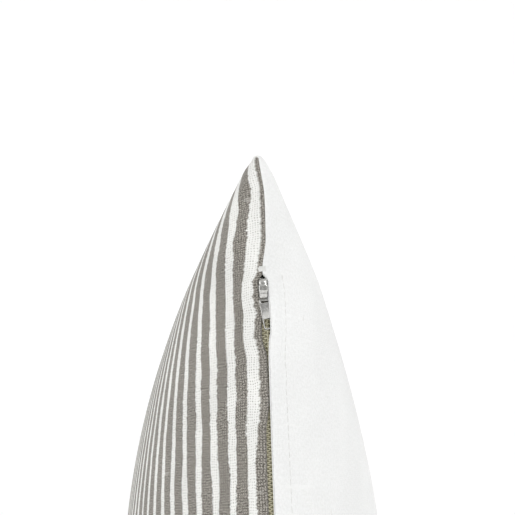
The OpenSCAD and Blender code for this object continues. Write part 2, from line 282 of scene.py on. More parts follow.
class Look:
    """A new material and the maker of its nodes. Values are numbers, colours or other nodes' sockets."""

    def __init__(self, name):
        self.material = bpy.data.materials.new(name)
        self.material.use_nodes = True
        self.tree = self.material.node_tree
        self.shader = self.tree.nodes["Principled BSDF"]

    def node(self, kind, **values):
        n = self.tree.nodes.new(kind)
        for key, value in values.items():
            setattr(n, key, value)
        return n

    def put(self, socket, value):
        """Links a socket to another, or sets it to a number or a colour."""
        if isinstance(value, bpy.types.NodeSocket):
            self.tree.links.new(value, socket)
        elif isinstance(value, tuple):
            socket.default_value = (*value, 1.0)
        else:
            socket.default_value = value

    def shade(self, name, value):
        """Sets or links one of the shader's own sockets."""
        self.put(self.shader.inputs[name], value)

    def calc(self, operation, *values):
        n = self.node("ShaderNodeMath", operation=operation)
        for k, value in enumerate(values):
            self.put(n.inputs[k], value)
        return n.outputs[0]

    def times(self, a, b):
        return self.calc("MULTIPLY", a, b)

    def plus(self, a, b):
        return self.calc("ADD", a, b)

    def times_plus(self, a, b, c):
        return self.calc("MULTIPLY_ADD", a, b, c)

    def mix(self, share, a, b, blend="MIX"):
        n = self.node("ShaderNodeMix", data_type="RGBA", blend_type=blend)
        for k, value in ((0, share), (6, a), (7, b)):
            self.put(n.inputs[k], value)
        return n.outputs[2]

    def ramp(self, value, low, high, out_low=0.0, out_high=1.0):
        """Maps value smoothly from low..high to out_low..out_high, clamped."""
        n = self.node("ShaderNodeMapRange", interpolation_type="SMOOTHSTEP")
        for k, number in enumerate((value, low, high, out_low, out_high)):
            self.put(n.inputs[k], number)
        return n.outputs[0]

    def noise(self, vector, scale, detail=2.0, rough=0.5, stretch=None):
        """Noise between 0 and 1 at a scale in cells for each unit of vector."""
        if stretch is not None:
            mapping = self.node("ShaderNodeMapping")
            mapping.inputs[3].default_value = stretch
            self.put(mapping.inputs[0], vector)
            vector = mapping.outputs[0]
        n = self.node("ShaderNodeTexNoise")
        for key, value in (("Vector", vector), ("Scale", scale), ("Detail", detail), ("Roughness", rough)):
            self.put(n.inputs[key], value)
        return n.outputs[0]

    def bump(self, height, strength, distance):
        n = self.node("ShaderNodeBump")
        for key, value in (("Strength", strength), ("Distance", distance), ("Height", height)):
            self.put(n.inputs[key], value)
        self.shade("Normal", n.outputs[0])

    def as_cotton(self):
        """Sets what the two outer cloths share and returns the material."""
        self.shade("Sheen Weight", 0.12)
        self.shade("Sheen Roughness", 0.5)
        self.shade("Specular IOR Level", 0.25)
        return self.material

    def in_mm(self, place):
        """A place in metres as one in millimetres, whole and as its separate x, y and z."""
        scaled = self.node("ShaderNodeVectorMath", operation="SCALE")
        self.put(scaled.inputs[0], place)
        scaled.inputs["Scale"].default_value = 1000.0
        parts = self.node("ShaderNodeSeparateXYZ")
        self.put(parts.inputs[0], scaled.outputs[0])
        return scaled.outputs[0], parts.outputs

    def cloth_mm(self):
        """The flat cloth's own place in mm: x across from the zip edge, y up the pillow."""
        place, parts = self.in_mm(self.node("ShaderNodeUVMap", uv_map="cloth").outputs[0])
        return place, parts[0], parts[1]

    def object_mm(self):
        return self.in_mm(self.node("ShaderNodeTexCoord").outputs["Object"])

    def threads(self, position, pitch, push):
        """A ridge across each thread: 0 in the gaps and 1 on the crown."""
        turn = self.times(self.plus(position, push), 2 * math.pi / pitch)
        return self.times_plus(self.calc("COSINE", turn), 0.5, 0.5)


WARP_PITCH = 1.2
WEFT_PITCH = 0.95
STRIPE_PITCH = 11.2
FIRST_STRIPE = 7.4


def striped_cotton():
    look = Look("striped_cotton")
    flat, across, up = look.cloth_mm()
    # the yarns wander a little, so stripes and threads aren't ruled straight
    slow = look.noise(flat, 0.022, 2.0, 0.5, (1.0, 0.8, 1.0))
    medium = look.noise(flat, 0.09, 2.0, 0.6, (1.0, 0.55, 1.0))
    jag = look.noise(flat, 0.9, 1.0, 0.5, (0.22, 1.0, 1.0))
    drift = look.times_plus(slow, 5.0, -2.5)
    drift = look.plus(drift, look.times_plus(medium, 3.4, -1.7))
    drift = look.plus(drift, look.times_plus(jag, 1.7, -0.85))
    # towards the upper corner the stripes run nearer to the seam
    near = look.calc("EXPONENT", look.times(across, -1 / 30.0))
    lean = look.ramp(up, 1000 * PATTERN_SIDE - 120, 1000 * PATTERN_SIDE - 10, 0.0, 3.5)
    drift = look.plus(drift, look.times(near, lean))
    place = look.plus(across, drift)
    place = look.calc("SUBTRACT", place, FIRST_STRIPE)
    turn = look.times(place, 2 * math.pi / STRIPE_PITCH)
    wave = look.calc("COSINE", turn)
    widths = look.noise(flat, 0.05, 1.0, 0.5, (1.0, 0.35, 1.0))
    edge = look.times_plus(widths, 0.9, -0.05)
    wider = look.calc("EXPONENT", look.times(across, -1 / 9.0))
    high_up = look.ramp(up, 1000 * PATTERN_SIDE - 190, 1000 * PATTERN_SIDE - 90, -0.35, -1.2)
    edge = look.plus(edge, look.times(wider, high_up))
    pale = look.ramp(look.calc("SUBTRACT", wave, edge), -0.22, 0.22)
    # beside the seam the cloth is always dark
    rim = look.times_plus(jag, 2.0, across)
    pale = look.times(pale, look.ramp(rim, 2.4, 3.6))
    # threads
    wander = look.times_plus(look.noise(flat, 0.12, 2.0, 0.5), 2.2, -1.1)
    warp = look.threads(across, WARP_PITCH, wander)
    weft = look.threads(up, WEFT_PITCH, wander)
    grain = look.noise(flat, 1.3, 2.0, 0.6)
    gap_warp = look.calc("SUBTRACT", 1.0, warp)
    gap_weft = look.calc("SUBTRACT", 1.0, weft)
    dots = look.ramp(look.times(gap_warp, gap_weft), 0.2, 0.75)
    # painted shade in the white stripes: darker along the gaps between threads, and darkest in the holes
    # where the gaps cross
    gap_shade_lines = look.calc("MAXIMUM", gap_warp, gap_weft)
    gap_shade_lines = look.ramp(gap_shade_lines, 0.72, 1.0)
    fine = look.noise(flat, 2.3, 1.0, 0.5)
    fleck = look.ramp(look.times_plus(fine, 0.4, look.times(grain, 0.6)), 0.42, 0.58)
    hole_shade = look.times(dots, look.times_plus(fleck, 0.7, 0.05))
    slub = look.ramp(look.noise(flat, 0.3, 1.0, 0.5, (0.3, 1.0, 1.0)), 0.70, 0.76)
    lit = look.times_plus(dots, 0.6, look.times_plus(fleck, 0.6, 0.02))
    taupe = look.mix(lit, (0.080, 0.072, 0.060), (0.450, 0.425, 0.382))
    taupe = look.mix(look.times(slub, 0.35), taupe, (0.56, 0.545, 0.51))
    # the white stripes take their painted shade in the gaps and holes of the weave
    white = look.mix(look.times(gap_shade_lines, 0.14), (0.87, 0.87, 0.845), (0.60, 0.59, 0.56))
    white = look.mix(hole_shade, white, (0.26, 0.25, 0.22))
    cloth = look.mix(pale, taupe, white)
    shade = look.ramp(look.noise(flat, 0.03, 3.0, 0.6), 0.3, 0.7, 0.93, 1.05)
    cloth = look.mix(1.0, cloth, shade, "MULTIPLY")
    look.shade("Base Color", cloth)
    height = look.times(look.plus(warp, weft), 0.32)
    height = look.times_plus(grain, 0.5, height)
    height = look.times_plus(slub, 0.35, height)
    height = look.times_plus(pale, 0.25, height)
    look.bump(height, 0.55, 0.35 * MM)
    rough = look.ramp(grain, 0.2, 0.8, 0.78, 0.95)
    look.shade("Roughness", rough)
    return look.as_cotton()


def plain_cotton():
    look = Look("plain_cotton")
    flat, across, up = look.cloth_mm()
    wander = look.times_plus(look.noise(flat, 0.12, 2.0, 0.5), 1.6, -0.8)
    warp = look.threads(across, 0.8, wander)
    weft = look.threads(up, 0.8, wander)
    grain = look.noise(flat, 0.9, 3.0, 0.6)
    slub_up = look.ramp(look.noise(flat, 0.45, 2.0, 0.5, (1.0, 0.1, 1.0)), 0.62, 0.72)
    slub_across = look.ramp(look.noise(flat, 0.4, 2.0, 0.5, (0.1, 1.0, 1.0)), 0.62, 0.74)
    speck = look.ramp(look.noise(flat, 0.28, 1.0, 0.5, (1.0, 0.6, 1.0)), 0.74, 0.8)
    tone = look.mix(look.ramp(grain, 0.3, 0.7), (0.82, 0.825, 0.815), (0.885, 0.89, 0.885))
    tone = look.mix(look.times(slub_across, 0.35), tone, (0.93, 0.93, 0.92))
    tone = look.mix(look.times(speck, 0.3), tone, (0.66, 0.65, 0.61))
    cloud = look.ramp(look.noise(flat, 0.02, 3.0, 0.6), 0.3, 0.7, 0.965, 1.02)
    tone = look.mix(1.0, tone, cloud, "MULTIPLY")
    look.shade("Base Color", tone)
    height = look.times(look.plus(warp, weft), 0.2)
    height = look.times_plus(grain, 0.45, height)
    height = look.times_plus(slub_up, 0.5, height)
    height = look.times_plus(slub_across, 0.5, height)
    look.bump(height, 0.4, 0.3 * MM)
    look.shade("Roughness", look.ramp(grain, 0.2, 0.8, 0.8, 0.95))
    return look.as_cotton()


def nickel():
    look = Look("nickel")
    place = look.object_mm()[0]
    worn = look.noise(place, 0.9, 4.0, 0.6)
    fine = look.noise(place, 7.0, 2.0, 0.5, (1.0, 1.0, 0.2))
    tone = look.mix(look.ramp(worn, 0.35, 0.7), (0.50, 0.495, 0.475), (0.66, 0.655, 0.635))
    look.shade("Base Color", tone)
    look.shade("Metallic", 1.0)
    look.shade("Roughness", look.ramp(worn, 0.3, 0.75, 0.14, 0.28))
    look.bump(fine, 0.12, 0.03 * MM)
    return look.material


def spring_steel():
    look = Look("spring_steel")
    place = look.object_mm()[0]
    brushed = look.noise(place, 9.0, 2.0, 0.6, (1.0, 1.0, 0.08))
    tone = look.mix(brushed, (0.42, 0.42, 0.41), (0.58, 0.58, 0.56))
    look.shade("Base Color", tone)
    look.shade("Metallic", 1.0)
    look.shade("Roughness", look.ramp(brushed, 0.2, 0.8, 0.28, 0.45))
    return look.material


def coil_plastic():
    look = Look("zip_coil")
    place = look.object_mm()[0]
    tint = look.noise(place, 0.35, 3.0, 0.6)
    tone = look.mix(tint, (0.78, 0.74, 0.54), (0.88, 0.84, 0.64))
    look.shade("Base Color", tone)
    look.shade("Roughness", look.ramp(tint, 0.2, 0.8, 0.3, 0.5))
    look.bump(look.noise(place, 6.0, 2.0, 0.5), 0.1, 0.03 * MM)
    return look.material


def tape_weave():
    look = Look("zip_tape")
    place, parts = look.object_mm()
    up = parts[2]
    across = parts[0]
    zigzag = look.calc("PINGPONG", across, 0.9)
    rib = look.threads(look.plus(up, zigzag), 0.55, 0.0)
    fuzz = look.noise(place, 3.0, 3.0, 0.6)
    # painted light and shade: the ribs are lighter on their crowns and darker in the grooves between them
    tone = look.mix(rib, (0.46, 0.43, 0.29), (0.68, 0.645, 0.47))
    tone = look.mix(look.times(fuzz, 0.4), tone, (0.46, 0.43, 0.31))
    look.shade("Base Color", tone)
    height = look.times_plus(fuzz, 0.4, rib)
    look.bump(height, 0.6, 0.12 * MM)
    look.shade("Roughness", look.ramp(fuzz, 0.2, 0.8, 0.75, 0.95))
    look.shade("Sheen Weight", 0.1)
    return look.material


def sewing_thread(name, low, high):
    look = Look(name)
    place, parts = look.object_mm()
    slant = look.plus(parts[2], parts[0])
    twist = look.threads(slant, 0.32, 0.0)
    fuzz = look.noise(place, 5.0, 2.0, 0.5)
    # painted shade: the thread is darker in the grooves of its twist, and varies at random with the fuzz
    look.shade("Base Color", look.mix(look.times(twist, fuzz), low, high))
    look.bump(twist, 0.5, 0.06 * MM)
    look.shade("Roughness", look.ramp(fuzz, 0.2, 0.8, 0.6, 0.85))
    return look.material


def inner_cotton():
    look = Look("inner_cotton")
    flat, across, up = look.cloth_mm()
    warp = look.threads(across, 0.6, 0.0)
    weft = look.threads(up, 0.6, 0.0)
    cloud = look.noise(flat, 0.05, 3.0, 0.6)
    look.shade("Base Color", look.mix(cloud, (0.80, 0.80, 0.79), (0.90, 0.90, 0.89)))
    height = look.plus(warp, weft)
    look.bump(height, 0.3, 0.12 * MM)
    look.shade("Roughness", look.ramp(cloud, 0.2, 0.8, 0.8, 0.95))
    return look.material


def wadding():
    look = Look("fibre_fill")
    place = look.object_mm()[0]
    clump = look.noise(place, 0.08, 5.0, 0.7)
    look.shade("Base Color", look.mix(clump, (0.84, 0.84, 0.84), (0.93, 0.93, 0.93)))
    look.bump(clump, 0.8, 1.5 * MM)
    look.shade("Roughness", look.ramp(clump, 0.2, 0.8, 0.85, 1.0))
    return look.material


STRIPED = striped_cotton()
PLAIN = plain_cotton()
NICKEL = nickel()
SPRING = spring_steel()
COIL = coil_plastic()
TAPE = tape_weave()
THREAD_PALE = sewing_thread("thread_pale", (0.74, 0.74, 0.72), (0.90, 0.90, 0.885))
THREAD_TAUPE = sewing_thread("thread_taupe", (0.26, 0.245, 0.215), (0.46, 0.44, 0.40))
INNER = inner_cotton()
WADDING = wadding()


def added(name, data):
    """A new object in the scene."""
    obj = bpy.data.objects.new(name, data)
    scene.collection.objects.link(obj)
    return obj


def applied(obj):
    """Makes the object's modifiers part of its mesh and returns the new mesh."""
    graph = bpy.context.evaluated_depsgraph_get()
    final = bpy.data.meshes.new_from_object(obj.evaluated_get(graph))
    obj.modifiers.clear()
    obj.data = final
    return final


def mesh_piece(name, verts, faces, mat, uvs=None, levels=0):
    """A smooth mesh piece in the part's frame, subdivided and applied. uvs is one pair for each vertex."""
    mesh = bpy.data.meshes.new(name)
    mesh.from_pydata([tuple(map(float, v)) for v in verts], [], [tuple(map(int, f)) for f in faces])
    mesh.update()
    if uvs is not None:
        layer = mesh.uv_layers.new(name="cloth")
        corner = np.zeros(len(mesh.loops), int)
        mesh.loops.foreach_get("vertex_index", corner)
        layer.data.foreach_set("uv", np.asarray(uvs, np.float32)[corner].ravel())
    mesh.materials.append(mat)
    obj = added(name, mesh)
    if levels:
        mod = obj.modifiers.new("smooth", "SUBSURF")
        mod.levels = levels
        mod.render_levels = levels
        final = applied(obj)
        bpy.data.meshes.remove(mesh)
        final.name = name
    obj.data.polygons.foreach_set("use_smooth", [True] * len(obj.data.polygons))
    obj.data.update()
    return obj


def bend_with_zip(obj):
    """Bakes the piece's placement into its mesh and reads its points, which are not used."""
    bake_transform(obj)
    co = np.zeros(len(obj.data.vertices) * 3)
    obj.data.vertices.foreach_get("co", co)


# ---- the cover ----
points, flat_cut, faces, grids, hold = cover_grid(CELLS)
settled = even_out(simulate(points, flat_cut, faces, hold), points, grids)
settled[:, 2] = np.maximum(settled[:, 2], 0.0)
cell = PATTERN_SIDE / CELLS
SEAM_STEPS = np.array([0, 1.0, 2.2, 4.0, 6.5]) * MM
CORNER_ROUND = 13 * MM
SEAM_ROLL = 1.8 * MM
FACING_JOINS = 16 * MM
FOLD_STEPS = np.array([0, 1.2, 2.6, 4.4, 6.5, 9.0, 10.0, 11.0, 13.0, 16.0, 20.0, 25.0]) * MM
STITCH_AT = 10.0 * MM

# Heights with the folded edges' distance from the middle and their stand-off from the chain, in mm.
# The folds open round the slider at both ends of its travel, and the tab tucks under the plain one.
STRIPED_FOLD = [(38, 0.0, 0.0), (47, 1.4, 1.8), (51, 2.4, 3.9), (62, 2.4, 3.9), (76, 1.3, 2.0),
                (200, 1.2, 2.1), (305, 1.2, 2.1), (319, 1.0, 2.1), (331, -0.5, 2.0), (346, -0.4, 2.0),
                (354, 1.3, 2.1), (359, 1.0, 2.0), (363, 0.5, 2.1), (366, 1.4, 3.0), (368, 1.75, 3.6),
                (374, 1.75, 3.6), (377, 0.0, 3.0), (384, 0.0, 1.6), (392, 0.0, 0.0)]
PLAIN_FOLD = [(38, 0.0, 0.0), (47, 1.4, 1.8), (51, 2.4, 3.9), (62, 2.4, 3.9), (76, 1.4, 2.0), (200, 1.3, 2.2),
              (300, 1.2, 2.2), (316, 1.2, 2.3), (328, 1.3, 2.4), (345, 1.4, 2.5), (352, 1.6, 3.5),
              (356, 2.3, 4.0), (365, 2.2, 4.0), (368, 1.95, 3.8), (374, 1.9, 3.6), (377, 0.0, 3.0),
              (384, 0.0, 1.6), (392, 0.0, 0.0)]


def eased(z, table, column):
    """A smooth curve through a table's rows."""
    heights = np.array([row[0] for row in table]) * MM
    values = np.array([row[column] for row in table]) * MM
    k = np.clip(np.searchsorted(heights, z, side="right") - 1, 0, len(heights) - 2)
    t = np.clip((z - heights[k]) / (heights[k + 1] - heights[k]), 0, 1)
    t = t * t * (3 - 2 * t)
    return values[k] + (values[k + 1] - values[k]) * t


def curve_at(grid, steps):
    """The grid's first axis taken at new steps along the cloth, through a smooth curve."""
    out = []
    for at in steps:
        i = min(int(at / cell), CELLS - 1)
        u = at / cell - i
        p1, p2 = grid[i], grid[i + 1]
        p0 = grid[i - 1] if i > 0 else 2 * p1 - p2
        p3 = grid[i + 2] if i + 2 <= CELLS else 2 * p2 - p1
        out.append(0.5 * (2 * p1 + (p2 - p0) * u + (2 * p0 - 5 * p1 + 4 * p2 - p3) * u**2
                          + (3 * p1 - p0 - 3 * p2 + p3) * u**3))
    return np.array(out)


def finer_steps(start, stretches):
    """Steps along the cloth: the start, the plain cells, closer ones in each stretch, and the far seam."""
    plain = [k * cell for k in range(CELLS + 1)]
    steps = [at for at in plain if start[-1] + 2 * MM < at < PATTERN_SIDE - SEAM_STEPS[-1] - 2 * MM]
    for low, high, step in stretches:
        steps = [at for at in steps if not low - step < at < high + step]
        steps += list(np.arange(low, high, step))
    return np.array([*start, *sorted(steps), *(PATTERN_SIDE - SEAM_STEPS[::-1])])


def grid_normals(grid, side):
    n = np.cross(np.gradient(grid, axis=0), np.gradient(grid, axis=1)) * side
    return n / np.maximum(np.linalg.norm(n, axis=2, keepdims=True), 1e-9)


first_column = settled[grids[0][0], 2]
rise_at = np.arange(CELLS + 1) * cell
rise_low, rise_slot, rise_mid, rise_high = np.interp(
    np.array([36, 72, 312, 392]) * MM, first_column, rise_at)
across_steps = finer_steps(FOLD_STEPS, [])
up_steps = finer_steps(SEAM_STEPS, [(rise_low, rise_slot, 1.8 * MM), (rise_mid, rise_high, 1.5 * MM)])


def beside(away):
    """How far the cloth stands proud at a distance from a sewn seam, which draws it in."""
    return 0.7 * MM * np.exp(-((away / MM - 2.6) / 2.0) ** 2) - 0.5 * MM * np.exp(-((away / MM) / 0.9) ** 2)


def cover_piece(name, side, mat):
    """One face of the cover, folded at the zip. Returns the piece, its grid and its outward directions."""
    table = STRIPED_FOLD if side < 0 else PLAIN_FOLD
    grid = curve_at(settled[grids[0 if side < 0 else 1]], across_steps)
    grid = np.swapaxes(curve_at(np.swapaxes(grid, 0, 1), up_steps), 0, 1)
    n_i, n_j = grid.shape[:2]
    # each corner is turned round instead of coming to a point
    for near_edge, y_way in ((across_steps, 1), (PATTERN_SIDE - across_steps, -1)):
        for near_end, z_way in ((up_steps, 1), (PATTERN_SIDE - up_steps, -1)):
            a = np.clip(1 - near_edge / CORNER_ROUND, 0, 1)[:, None] + 0 * near_end[None]
            b = np.clip(1 - near_end / CORNER_ROUND, 0, 1)[None] + 0 * near_edge[:, None]
            keep = np.maximum(a, b) / np.maximum(np.hypot(a, b), 1e-9)
            keep = np.where((a > 0) & (b > 0), keep, 1.0)
            grid[:, :, 1] += y_way * a * (1 - keep) * CORNER_ROUND
            grid[:, :, 2] += z_way * b * (1 - keep) * CORNER_ROUND * (1 if z_way < 0 else 0)
    z_edge = grid[0, :, 2]
    open_rows = (z_edge > 41 * MM) & (z_edge < 377.5 * MM)
    # the folded edge is drawn to its place beside the chain, and the facing curves back from it
    in_reach = smooth(z_edge, 30 * MM, 40 * MM) * (1 - smooth(z_edge, 384 * MM, 394 * MM))
    joins = int(np.argmin(abs(across_steps - FACING_JOINS)))
    over_top = smooth(z_edge, 361 * MM, 366 * MM) - smooth(z_edge, 376 * MM, 381 * MM)
    over_low = smooth(z_edge, 46 * MM, 51 * MM) - smooth(z_edge, 61 * MM, 67 * MM)
    over_tab = smooth(z_edge, 348 * MM, 354 * MM) - smooth(z_edge, 361 * MM, 366 * MM)
    for j in np.nonzero(in_reach > 0)[0]:
        start = np.array((side * eased(z_edge[j], table, 1), -(ZIP_REACH + eased(z_edge[j], table, 2))))
        finish = grid[joins, j, :2]
        leaving = grid[joins + 1, j, :2] - grid[joins - 1, j, :2]
        leaving /= np.linalg.norm(leaving)
        reach = np.linalg.norm(finish - start)
        rise = math.radians(-18 + 14 * (over_top[j] + over_low[j]) + 24 * over_tab[j] * (side > 0))
        setting_out = np.array((side * math.cos(rise), -math.sin(rise)))
        t = (across_steps[:joins] / across_steps[joins])[:, None]
        curve = ((2 * t**3 - 3 * t**2 + 1) * start + (t**3 - 2 * t**2 + t) * reach * 1.15 * setting_out
                 + (3 * t**2 - 2 * t**3) * finish + (t**3 - t**2) * reach * leaving)
        grid[:joins, j, :2] += (curve - grid[:joins, j, :2]) * in_reach[j]
    outward = grid_normals(grid, side)
    ends = smooth(z_edge, 44 * MM, 56 * MM) * (1 - smooth(z_edge, 374 * MM, 386 * MM))
    dent = -0.4 * MM * np.exp(-(((across_steps - STITCH_AT) / (1.1 * MM)) ** 2))
    proud = 0.3 * MM * np.exp(-(((across_steps - 5.5 * MM) / (3.0 * MM)) ** 2))
    lift = (dent + proud)[:, None] * ends[None]
    # each sewn seam is drawn in, and the cloth beside it stands a little proud
    to_far = PATTERN_SIDE - across_steps
    to_top = PATTERN_SIDE - up_steps
    lift += beside(to_far)[:, None] * (grid[:, :, 2] > 3 * MM)
    lift += (beside(to_top)[None] + 0 * to_far[:, None])
    closed = 1 - smooth(z_edge, 30 * MM, 42 * MM) + smooth(z_edge, 386 * MM, 394 * MM)
    lift += beside(across_steps)[:, None] * (closed * (z_edge > 3 * MM))[None]
    lift[:, grid[0, :, 2] < 0.3 * MM] = 0
    seam = np.zeros((n_i, n_j), bool)
    seam[-1] = seam[:, -1] = seam[:, 0] = True
    seam[0] = ~open_rows
    move = outward * lift[:, :, None]
    move[seam, 0] = 0
    grid = grid + move
    grid[seam, 0] = 0
    # above the zip the seam rolls a little towards the plain face
    height = grid[:, :, 2]
    rolled = SEAM_ROLL * smooth(height, 377 * MM, 390 * MM) * (1 - smooth(height, 404 * MM, 419 * MM))
    grid[:, :, 0] += rolled * np.exp(-((across_steps / (7 * MM)) ** 2))[:, None]
    grid[:, :, 2] = np.maximum(grid[:, :, 2], 0)
    verts = grid.reshape(-1, 3).tolist()
    uvs = [(across_steps[i], up_steps[j]) for i in range(n_i) for j in range(n_j)]
    quads = []
    for i in range(n_i - 1):
        for j in range(n_j - 1):
            quad = (i * n_j + j, i * n_j + j + 1, (i + 1) * n_j + j + 1, (i + 1) * n_j + j)
            quads.append(quad[::-1] if side > 0 else quad)
    # the folded edge turns under and lies back along the tape
    rows = np.nonzero(open_rows)[0]
    strips = []
    for j in rows:
        nose = grid[0, j] - grid[2, j]
        nose = nose / np.linalg.norm(nose)
        strip = [int(j)]
        for k, (column, ahead, depth) in enumerate(((0, 0.3, 0.25), (0, 0.1, 0.65), (2, 0, 0.8), (3, 0, 0.8),
                                                    (5, 0, 0.7), (6, 0, 0.7))):
            p = grid[column, j] + (nose * ahead - outward[column, j] * depth) * MM
            strip.append(len(verts))
            verts.append(p.tolist())
            uvs.append((-(across_steps[column] + 0.5 * (k + 1) * MM), up_steps[j]))
        strips.append(strip)
    for one, two in zip(strips[:-1], strips[1:]):
        for k in range(len(one) - 1):
            quad = (one[k], one[k + 1], two[k + 1], two[k])
            quads.append(quad if side > 0 else quad[::-1])
    return mesh_piece(name, verts, quads, mat, uvs, levels=1), grid, outward


front, front_grid, front_out = cover_piece("cover_front", -1, STRIPED)
back, back_grid, back_out = cover_piece("cover_back", 1, PLAIN)
for obj, side in ((front, -1), (back, 1)):
    bend_with_zip(obj)
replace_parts(front, "front_panel", "front_placket")
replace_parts(back, "back_panel", "back_placket")


# ---- the insert pad ----
def pad_piece(name, depth, edge, mat, node_names):
    """A closed pillow form that lies the given depth inside the cover."""
    verts, uvs, quads = [], [], []
    index = {}
    every = [*range(0, CELLS, 4), CELLS]
    for side in (-1, 1):
        grid = settled[grids[0 if side < 0 else 1]][np.ix_(every, every)].copy()
        grid -= grid_normals(grid, side) * depth
        middle = np.array((0, 0, MID_HEIGHT / 2))
        shrink = 1 - edge / MID_HALF_WIDTH
        grid = middle + (grid - middle) * (1, shrink, shrink)
        last = len(every) - 1
        for i in range(last + 1):
            for j in range(last + 1):
                rim = i in (0, last) or j in (0, last)
                if rim and side > 0:
                    index[side, i, j] = index[-1, i, j]
                    continue
                index[side, i, j] = len(verts)
                p = grid[i, j]
                verts.append((0 if rim else side * max(side * p[0], 0.6 * MM), p[1], p[2]))
                uvs.append((every[i] * cell, every[j] * cell))
        for i in range(last):
            for j in range(last):
                quad = tuple(index[side, a, b] for a, b in ((i, j), (i, j + 1), (i + 1, j + 1), (i + 1, j)))
                quads.append(quad[::-1] if side > 0 else quad)
    obj = mesh_piece(name, verts, quads, mat, uvs, levels=1)
    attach(obj, "cover")
    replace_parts(obj, *node_names)
    return obj


pad_piece("insert_pad", 5 * MM, 13 * MM, INNER, ("insert_casing_front", "insert_casing_back"))
pad_piece("insert_wadding", 7 * MM, 16 * MM, WADDING, ("insert_fill",))


# ---- the zip ----
def at_zip(x, w, z):
    """A point beside the zip: x across, w outwards from the chain, z up."""
    return (x, -(ZIP_REACH + w), z)


def ring_faces(rings, sides, outward=True):
    """Quads between rings of points, with a face over each end. outward False turns them all over."""
    quads = []
    for k in range(rings - 1):
        for m in range(sides):
            a, b = k * sides + m, k * sides + (m + 1) % sides
            quads.append((a, b, b + sides, a + sides))
    quads.append(tuple(range(sides))[::-1])
    quads.append(tuple((rings - 1) * sides + m for m in range(sides)))
    return quads if outward else [quad[::-1] for quad in quads]


def tube(path, radius, sides=6):
    """Points and faces of a round tube along a path, closed at both ends."""
    path = np.array(path, float)
    tangent = np.gradient(path, axis=0)
    tangent /= np.linalg.norm(tangent, axis=1, keepdims=True)
    ref = np.array((0.0, -1.0, 0.0)) if abs(tangent[0][1]) < 0.9 else np.array((1.0, 0.0, 0.0))
    normal = np.cross(np.cross(tangent[0], ref), tangent[0])
    verts = []
    for p, t in zip(path, tangent):
        normal = normal - t * np.dot(normal, t)
        normal /= np.linalg.norm(normal)
        other = np.cross(t, normal)
        for m in range(sides):
            turn = 2 * math.pi * m / sides
            verts.append(p + radius * (math.cos(turn) * normal + math.sin(turn) * other))
    return verts, ring_faces(len(path), sides)


def joined(parts):
    """Several sets of points and faces as one."""
    verts, quads = [], []
    for v, f in parts:
        shift = len(verts)
        verts += list(v)
        quads += [tuple(k + shift for k in face) for face in f]
    return verts, quads


COIL_PITCH = 1.4 * MM
COIL_LOW = ZIP_BOTTOM + 1.0 * MM
COIL_HIGH = ZIP_TOP - 0.6 * MM
TURN_STEPS = 12
COIL_WIRE = 0.28 * MM
COIL_CORD = 0.42 * MM
TAPE_ROW = 0.12 * MM
STITCH_THREAD = 0.18 * MM
BARTACK_THREAD = 0.11 * MM


def parting(z):
    """How far the coils stand apart where they pass the slider."""
    return 1.05 * MM * smooth(z, SLIDER_Z - 4.5 * MM, SLIDER_Z)


def coil_piece(name, side, shift):
    """One coil of the chain: a monofilament wound round its cord and sewn to the tape."""
    turns = int((COIL_HIGH - COIL_LOW) / COIL_PITCH)
    path = []
    for k in range(turns * TURN_STEPS + 1):
        turn = 2 * math.pi * k / TURN_STEPS
        z = COIL_LOW + shift + COIL_PITCH * k / TURN_STEPS
        # a wound loop: wide across, flat in depth, with its head past the middle
        x = 0.84 * MM + 1.28 * MM * math.cos(turn)
        w = 0.60 * MM * math.sin(turn)
        x = side * (x + parting(z))
        path.append(at_zip(x, w, z))
    cord = [at_zip(side * (1.25 * MM + parting(z)), 0.0, z) for z in np.arange(COIL_LOW, COIL_HIGH, 2 * MM)]
    obj = mesh_piece(name, *joined([tube(path, COIL_WIRE), tube(cord, COIL_CORD, 8)]), COIL)
    bend_with_zip(obj)
    return obj


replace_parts(coil_piece("coil_front", -1, 0.0), "zip_coil_front")
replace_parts(coil_piece("coil_back", 1, COIL_PITCH / 2), "zip_coil_back")


def tape_piece(name, side):
    """A woven tape: a thin band with rounded edges, and the row of thread that holds the coil."""
    middle = [(0.9, -1.17), (2.5, -1.17), (4.2, -1.3), (5.0, -2.6), (5.8, -4.2), (6.9, -5.8), (8.0, -7.2)]
    half = 0.3
    ring = [(x, w + half) for x, w in middle] + [(middle[-1][0] + 0.2, middle[-1][1])]
    ring += [(x, w - half) for x, w in middle[::-1]] + [(middle[0][0] - 0.2, middle[0][1])]
    heights = np.arange(ZIP_BOTTOM - 1 * MM, ZIP_TOP + 2.6 * MM, 3 * MM)
    verts = [at_zip(side * x * MM, w * MM, z) for z in heights for x, w in ring]
    row = []
    for k, z in enumerate(np.arange(COIL_LOW, COIL_HIGH, COIL_PITCH / 4)):
        out = -0.8 + 1.7 * (0.5 + 0.5 * math.cos(k * math.pi / 2))
        row.append(at_zip(side * (2.6 * MM + parting(z)), out * MM, z))
    band = (verts, ring_faces(len(heights), len(ring), side < 0))
    obj = mesh_piece(name, *joined([band, tube(row, TAPE_ROW, 5)]), TAPE)
    bend_with_zip(obj)
    return obj


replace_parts(tape_piece("tape_front", -1), "zip_tape_front")
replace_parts(tape_piece("tape_back", 1), "zip_tape_back")


def at_step(at, steps, row):
    """The point, or the direction, at a distance along a row of them."""
    return np.array([np.interp(at, steps, row[:, c]) for c in range(3)])


def stitch_path(points_in, normals_in, dip=0.25 * MM, rise=0.1 * MM):
    """A stitch between two points on cloth: it comes up, lies on the surface and goes down."""
    start, end = points_in
    up0, up1 = normals_in
    shape = ((0.0, -dip), (0.07, 0.05 * MM), (0.3, rise), (0.7, rise), (0.93, 0.05 * MM), (1.0, -dip))
    return [start + (end - start) * t + (up0 + (up1 - up0) * t) * h for t, h in shape]


